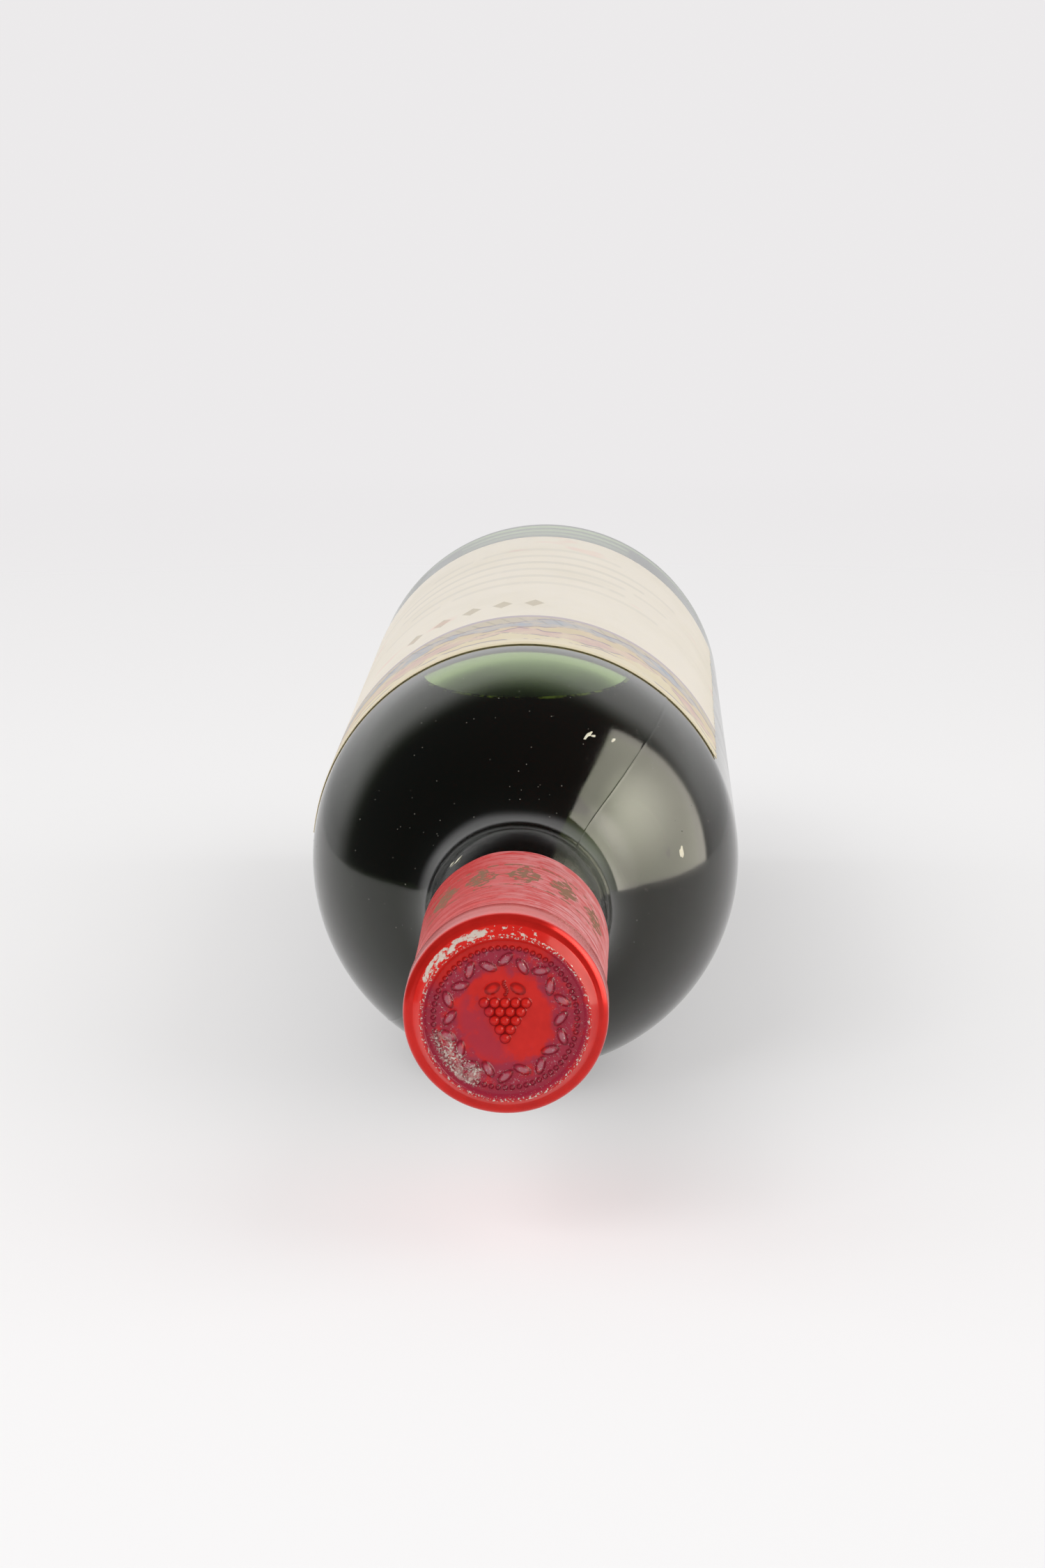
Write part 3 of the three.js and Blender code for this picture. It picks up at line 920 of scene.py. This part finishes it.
def agedPaper():
    material, tree, shader = newMaterial("agedPaper")
    p = labelPaint
    s = labelSettings
    uv = addNode(tree, "ShaderNodeUVMap", uv_map="sheet")
    sheet = addNode(tree, "ShaderNodeSeparateXYZ", {0: uv.outputs[0]})
    across = share(tree, calc(tree, "SUBTRACT", sheet.outputs[0], 0.5), s["width"])
    down = share(tree, rest(tree, sheet.outputs[1]), s["top"] - s["low"])
    spot = combine(tree, across, down)
    fibres = vectorCalc(tree, "MULTIPLY", spot, (0.5, 2.2, 1.0))

    tone = speckle(tree, spot, 0.03, 4.0, 0.6)
    colour = blend(tree, share(tree, fade(tree, tone, 0.4, 0.8), 0.5), p["paper"], p["aged"])
    yellowed = fade(tree, calc(tree, "ABSOLUTE", across), s["width"] / 2 - 9, s["width"] / 2)
    colour = blend(tree, share(tree, yellowed, 0.4), colour, p["aged"])
    colour = blend(tree, fade(tree, down, 4.5, 1.5), colour, p["margin"])
    colour = paintedHills(tree, colour, across, down)
    colour = lozengesAndBars(tree, colour, across, down)
    stains = fade(tree, speckle(tree, spot, 0.06, 2.0, 0.5, 31.0), 0.66, 0.74)
    colour = blend(tree, share(tree, stains, 0.3), colour, p["stain"])
    flecks = fade(tree, speckle(tree, fibres, 1.1, 2.0, 0.5, 8.0), 0.7, 0.78)
    colour = blend(tree, share(tree, flecks, 0.25), colour, p["ink"])

    grain = speckle(tree, fibres, 2.4, 4.0, 0.65)
    relief = calc(tree, "MULTIPLY_ADD", speckle(tree, spot, 0.12, 3.0), 1.5, grain)
    bump = addNode(tree, "ShaderNodeBump", {"Height": relief, "Strength": 0.25, "Distance": 0.2 * mm})
    setInputs(tree, shader, {
        "Base Color": colour, "Roughness": remap(tree, grain, 0.3, 0.7, 0.72, 0.9),
        "Normal": bump.outputs[0], "Specular IOR Level": 0.3,
        "Subsurface Weight": 0.5, "Subsurface Radius": (1.0, 0.9, 0.7), "Subsurface Scale": mm,
    })
    return material


label = newPiece("paperLabel", labelSheet(), agedPaper())
thickness = label.modifiers.new("paper", "SOLIDIFY")
thickness.thickness = labelSettings["paper"] * mm
thickness.offset = -1.0
print("label made,", len(label.data.polygons), "faces")


# dust on the glass

dustSettings = {
    "perSquareMetre": 30000.0, "smallest": 0.04, "largest": 0.13, "seed": 7,
    "thinnest": 0.02, "thickest": 0.05,
    "aboveShoulder": 3.0, "belowLabel": 2.0, "steepest": -0.35, "towardsCapsule": -0.3,
    "dark": rgb(96, 94, 86), "pale": rgb(160, 156, 146),
}


# the upper outside of the shoulder, neck and heel, where dust settles
def dustyGlass():
    g = glassSettings
    d = dustSettings
    bm = bmesh.new()
    bm.from_mesh(glass.data)
    drop = []
    for face in bm.faces:
        middle = face.calc_center_median()
        height = (baseY - middle.y) / mm
        out = Vector((middle.x, 0, middle.z - axisHeight * mm))
        outside = face.normal.dot(out) > 0 or face.normal.y < d["towardsCapsule"]
        nearCapsule = g["shoulderHeight"] + d["aboveShoulder"] < height < capsuleSettings["edgeHeight"]
        nearBase = g["heel"] < height < labelSettings["low"] - d["belowLabel"]
        beyondNeck = out.length > (g["neckRadius"] - 0.2) * mm
        upper = face.normal.z > d["steepest"]
        if not (outside and (nearCapsule or nearBase) and beyondNeck and upper):
            drop.append(face)
    bmesh.ops.delete(bm, geom=drop, context="FACES")
    return meshFrom(bm, "dustyGlass")


def dustTree():
    d = dustSettings
    tree, start, end = newGeometryTree(
        "dust", [("Density", "NodeSocketFloat"), ("Smallest", "NodeSocketFloat"),
                 ("Largest", "NodeSocketFloat"), ("Seed", "NodeSocketInt"),
                 ("Material", "NodeSocketMaterial")])
    spread = addNode(tree, "GeometryNodeDistributePointsOnFaces", {
        "Mesh": start.outputs["Geometry"], "Density": start.outputs["Density"],
        "Seed": start.outputs["Seed"]})
    grain = addNode(tree, "GeometryNodeMeshIcoSphere", {"Radius": mm, "Subdivisions": 1})
    low = combine(tree, start.outputs["Smallest"], start.outputs["Smallest"], d["thinnest"])
    high = combine(tree, start.outputs["Largest"], start.outputs["Largest"], d["thickest"])
    size = addNode(tree, "FunctionNodeRandomValue", data_type="FLOAT_VECTOR")
    setInputs(tree, size, {0: low, 1: high, "Seed": start.outputs["Seed"]})
    lay = addNode(tree, "GeometryNodeInstanceOnPoints", {
        "Points": spread.outputs["Points"], "Instance": grain.outputs["Mesh"],
        "Rotation": spread.outputs["Rotation"], "Scale": size.outputs[0]})
    real = addNode(tree, "GeometryNodeRealizeInstances", {0: lay.outputs[0]})
    painted = addNode(tree, "GeometryNodeSetMaterial", {
        "Geometry": real.outputs[0], "Material": start.outputs["Material"]})
    tree.links.new(painted.outputs[0], end.inputs[0])
    return tree


# a matt mottle of two colours, for dust and scraps
def mottled(name, grain, detail, dark, pale, roughness):
    material, tree, shader = newMaterial(name)
    where = useGroup(tree, coordinates, {})
    tone = speckle(tree, where.outputs["Millimetres"], grain, detail)
    setInputs(tree, shader, {"Base Color": blend(tree, tone, dark, pale), "Roughness": roughness})
    return material


dustMaterial = mottled("paleDust", 0.7, 2.0, dustSettings["dark"], dustSettings["pale"], 0.9)
dustMesh = grow("dust", dustyGlass(), dustTree(), {
    "Density": dustSettings["perSquareMetre"], "Smallest": dustSettings["smallest"],
    "Largest": dustSettings["largest"], "Seed": dustSettings["seed"], "Material": dustMaterial})
dust = newPiece("dust", dustMesh, dustMaterial)
print("dust made,", len(dust.data.polygons), "faces")


# scraps stuck to the glass

scrapSettings = {
    # height, turn, half length, half width, tilt
    "pieces": ((206.6, 67.0, 1.1, 0.28, 25), (206.3, 65.2, 0.4, 0.22, 60), (205.2, 58.5, 0.5, 0.25, 10),
               (207.5, 13.5, 0.45, 1.0, 10), (236.0, 131.0, 1.3, 0.35, 30), (234.6, 137.0, 0.7, 0.25, 50)),
    "thick": 0.12, "sink": 0.02, "corners": 14, "ragged": 0.6,
    "dark": rgb(186, 178, 140), "pale": rgb(232, 228, 214),
}


def outerRadius(height):
    path = outerShoulder()
    for low, high in zip(path, path[1:]):
        if low[0] <= height < high[0]:
            return low[1] + (high[1] - low[1]) * (height - low[0]) / (high[0] - low[0])
    return bodyRadius if height < path[0][0] else glassSettings["neckRadius"]


# each scrap is a ragged flake, thickest in its middle
def scrapMesh():
    s = scrapSettings
    bm = bmesh.new()
    for number, (height, turn, long, wide, tilt) in enumerate(s["pieces"]):
        around = outerRadius(height)
        lean = math.radians(tilt)

        def onGlass(along, across, lift):
            at = height + along
            return bm.verts.new(place(at, outerRadius(at) + lift, math.radians(turn) + across / around))

        edge = []
        for a in evenTurns(s["corners"]):
            ragged = 1 + s["ragged"] * noise.noise(Vector((math.cos(a) * 2, math.sin(a) * 2, number * 5.3)))
            x = long * ragged * math.cos(a)
            y = wide * ragged * math.sin(a)
            along = x * math.cos(lean) - y * math.sin(lean)
            across = x * math.sin(lean) + y * math.cos(lean)
            edge.append(onGlass(along, across, 0.0))
        peak = onGlass(0, 0, s["thick"])
        foot = onGlass(0, 0, -s["sink"])
        for one, two in zip(edge, edge[1:] + edge[:1]):
            bm.faces.new((one, two, peak))
            bm.faces.new((two, one, foot))
    bmesh.ops.recalc_face_normals(bm, faces=bm.faces)
    return meshFrom(bm, "scraps")


scrapMaterial = mottled("paleScrap", 1.5, 3.0, scrapSettings["dark"], scrapSettings["pale"], 0.6)
scrap = newPiece("scraps", scrapMesh(), scrapMaterial)
print("scraps made,", len(scrap.data.polygons), "faces")


# every piece rides on the one body

for piece, node, slot in ((glass, "bottle_glass", "dark_glass"), (wine, "wine", "red_wine"),
                          (capsule, "capsule", "red_foil"), (embossing, None, "red_foil"),
                          (label, "label", "aged_paper"), (dust, None, "aged_paper"),
                          (scrap, None, "aged_paper")):
    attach(piece, "root")
    if node:
        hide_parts(node)


# the studio, in metres

studio = {
    "reflectedFloor": ((-0.34, -0.5), (0.4, 1.0)),  # what the glass sees of the floor
    "seenFloor": ((-6.0, -6.0), (6.0, 6.0)), "seenDrop": 0.0002,  # what the camera sees, just below
    "floorFade": (0.2, 0.95),  # where the floor melts into the background
    "floor": rgb(198, 197, 197), "floorGlow": 0.6,
    "sky": (0.84, 0.825, 0.832, 1.0), "fill": (0.52, 0.52, 0.52, 1.0),
    "backdrop": (0.72, 1.15), "gloom": (0.085, 0.095, 0.09, 1.0),
    "backdropFrom": (0.35, 0.62), "backdropTop": (0.93, 0.7), "backdropRise": 0.25,  # by direction
    # soft boxes for the matt things: place, size, watts, aim
    "boxes": {
        "right": {"at": (0.95, -0.2, 0.75), "size": (1.3, 1.4), "watts": 7.0, "aim": (0, -0.1, 0.4)},
        "left": {"at": (-1.0, -0.1, 0.75), "size": (1.0, 1.4), "watts": 5.0, "aim": (0, -0.1, 0.4)},
        "front": {"at": (-0.7, -1.2, 1.3), "size": (1.0, 0.8), "watts": 10.0, "aim": (0, -0.1, 0.05)},
    },
    # the right box as polished things show it: brighter in its middle
    "card": {"x": 0.93, "y": (-0.85, 0.45), "z": (-0.11, 1.4), "middle": (-0.25, 0.55), "spread": 0.6,
             "edge": 4.0, "glow": 4.5, "colour": (1.0, 0.95, 0.84, 1.0)},
}


def paleFloor():
    material, tree, shader = newMaterial("paleFloor")
    where = addNode(tree, "ShaderNodeTexCoord").outputs["Object"]
    reach = lengthOf(tree, where)
    near, far = studio["floorFade"]
    setInputs(tree, shader, {
        "Base Color": studio["floor"], "Roughness": 0.9, "Specular IOR Level": 0.0,
        "Emission Color": studio["floor"], "Emission Strength": studio["floorGlow"],
        "Alpha": fade(tree, reach, far, near),
    })
    return material


# a flat four-cornered piece of the studio
def stagePlane(name, corners, material):
    mesh = bpy.data.meshes.new(name)
    mesh.from_pydata(corners, [], [(0, 1, 2, 3)])
    plane = newPiece(name, mesh, material)
    return plane


def floorCorners(low, high, z):
    return [(low[0], low[1], z), (high[0], low[1], z), (high[0], high[1], z), (low[0], high[1], z)]


floorMaterial = paleFloor()
seen = stagePlane("seenFloor", floorCorners(*studio["seenFloor"], -studio["seenDrop"]), floorMaterial)
hideFrom(seen, "glossy", "transmission")
mirrored = stagePlane("reflectedFloor", floorCorners(*studio["reflectedFloor"], 0.0), floorMaterial)
hideFrom(mirrored, "camera", "diffuse", "shadow")


# the camera and soft light see a pale room; polished things see a bright backdrop and a dark room in front
def studioWorld():
    world = bpy.data.worlds.new("studio")
    scene.world = world
    world.use_nodes = True
    tree = world.node_tree
    path = addNode(tree, "ShaderNodeLightPath")
    direction = addNode(tree, "ShaderNodeTexCoord").outputs["Generated"]
    parts = addNode(tree, "ShaderNodeSeparateXYZ", {0: direction})
    behind = fade(tree, parts.outputs[1], *studio["backdropFrom"])
    low = fade(tree, parts.outputs[2], *studio["backdropTop"])
    glow = remap(tree, parts.outputs[2], 0.0, studio["backdropRise"], *studio["backdrop"])
    shine = blend(tree, both(tree, behind, low), studio["gloom"], glow)
    soft = blend(tree, path.outputs["Is Diffuse Ray"], shine, studio["fill"])
    shown = blend(tree, path.outputs["Is Camera Ray"], soft, studio["sky"])
    tree.links.new(shown, tree.nodes["Background"].inputs["Color"])


studioWorld()


def softBox(name, box):
    data = bpy.data.lights.new(name, "AREA")
    data.energy = box["watts"]
    data.shape = "RECTANGLE"
    data.size, data.size_y = box["size"]
    lamp = bpy.data.objects.new(name, data)
    scene.collection.objects.link(lamp)
    lamp.location = box["at"]
    lamp.rotation_euler = (Vector(box["aim"]) - Vector(box["at"])).to_track_quat("-Z", "Y").to_euler()
    hideFrom(lamp, "camera", "glossy", "transmission")


for boxName, box in studio["boxes"].items():
    softBox(boxName + "SoftBox", box)


def shiningCard():
    c = studio["card"]
    material, tree, shader = newMaterial("shiningCard")
    where = addNode(tree, "ShaderNodeTexCoord").outputs["Object"]
    middle = (c["x"], *c["middle"])
    distance = addNode(tree, "ShaderNodeVectorMath", {0: where, 1: middle}, operation="DISTANCE")
    off = distance.outputs["Value"]
    bright = calc(tree, "MULTIPLY_ADD", fade(tree, off, c["spread"], 0.0), c["glow"], c["edge"])
    setInputs(tree, shader, {
        "Base Color": (0, 0, 0, 1), "Emission Strength": 1.0,
        "Emission Color": blend(tree, 1.0, c["colour"], bright, "MULTIPLY"),
    })
    near, far = c["y"]
    low, high = c["z"]
    corners = [(c["x"], near, low), (c["x"], near, high), (c["x"], far, high), (c["x"], far, low)]
    plane = stagePlane("shiningCard", corners, material)
    hideFrom(plane, "camera", "diffuse", "shadow")


shiningCard()


# the camera, as the picture was taken

view = {
    "at": (0.01776, -0.71679, 0.18148), "yaw": 1.53, "pitch": 10.82,
    "focalPixels": 5658.5, "tallPixels": 2250.0,
}
cameraData = bpy.data.cameras.new("camera")
cameraData.sensor_width = 36.0
cameraData.lens = view["focalPixels"] / view["tallPixels"] * cameraData.sensor_width
cameraData.clip_start = 0.01
camera = bpy.data.objects.new("camera", cameraData)
scene.collection.objects.link(camera)
camera.location = view["at"]
camera.rotation_euler = (math.radians(90 - view["pitch"]), 0, math.radians(view["yaw"]))
scene.camera = camera
scene.view_settings.view_transform = "Standard"

print("studio ready")
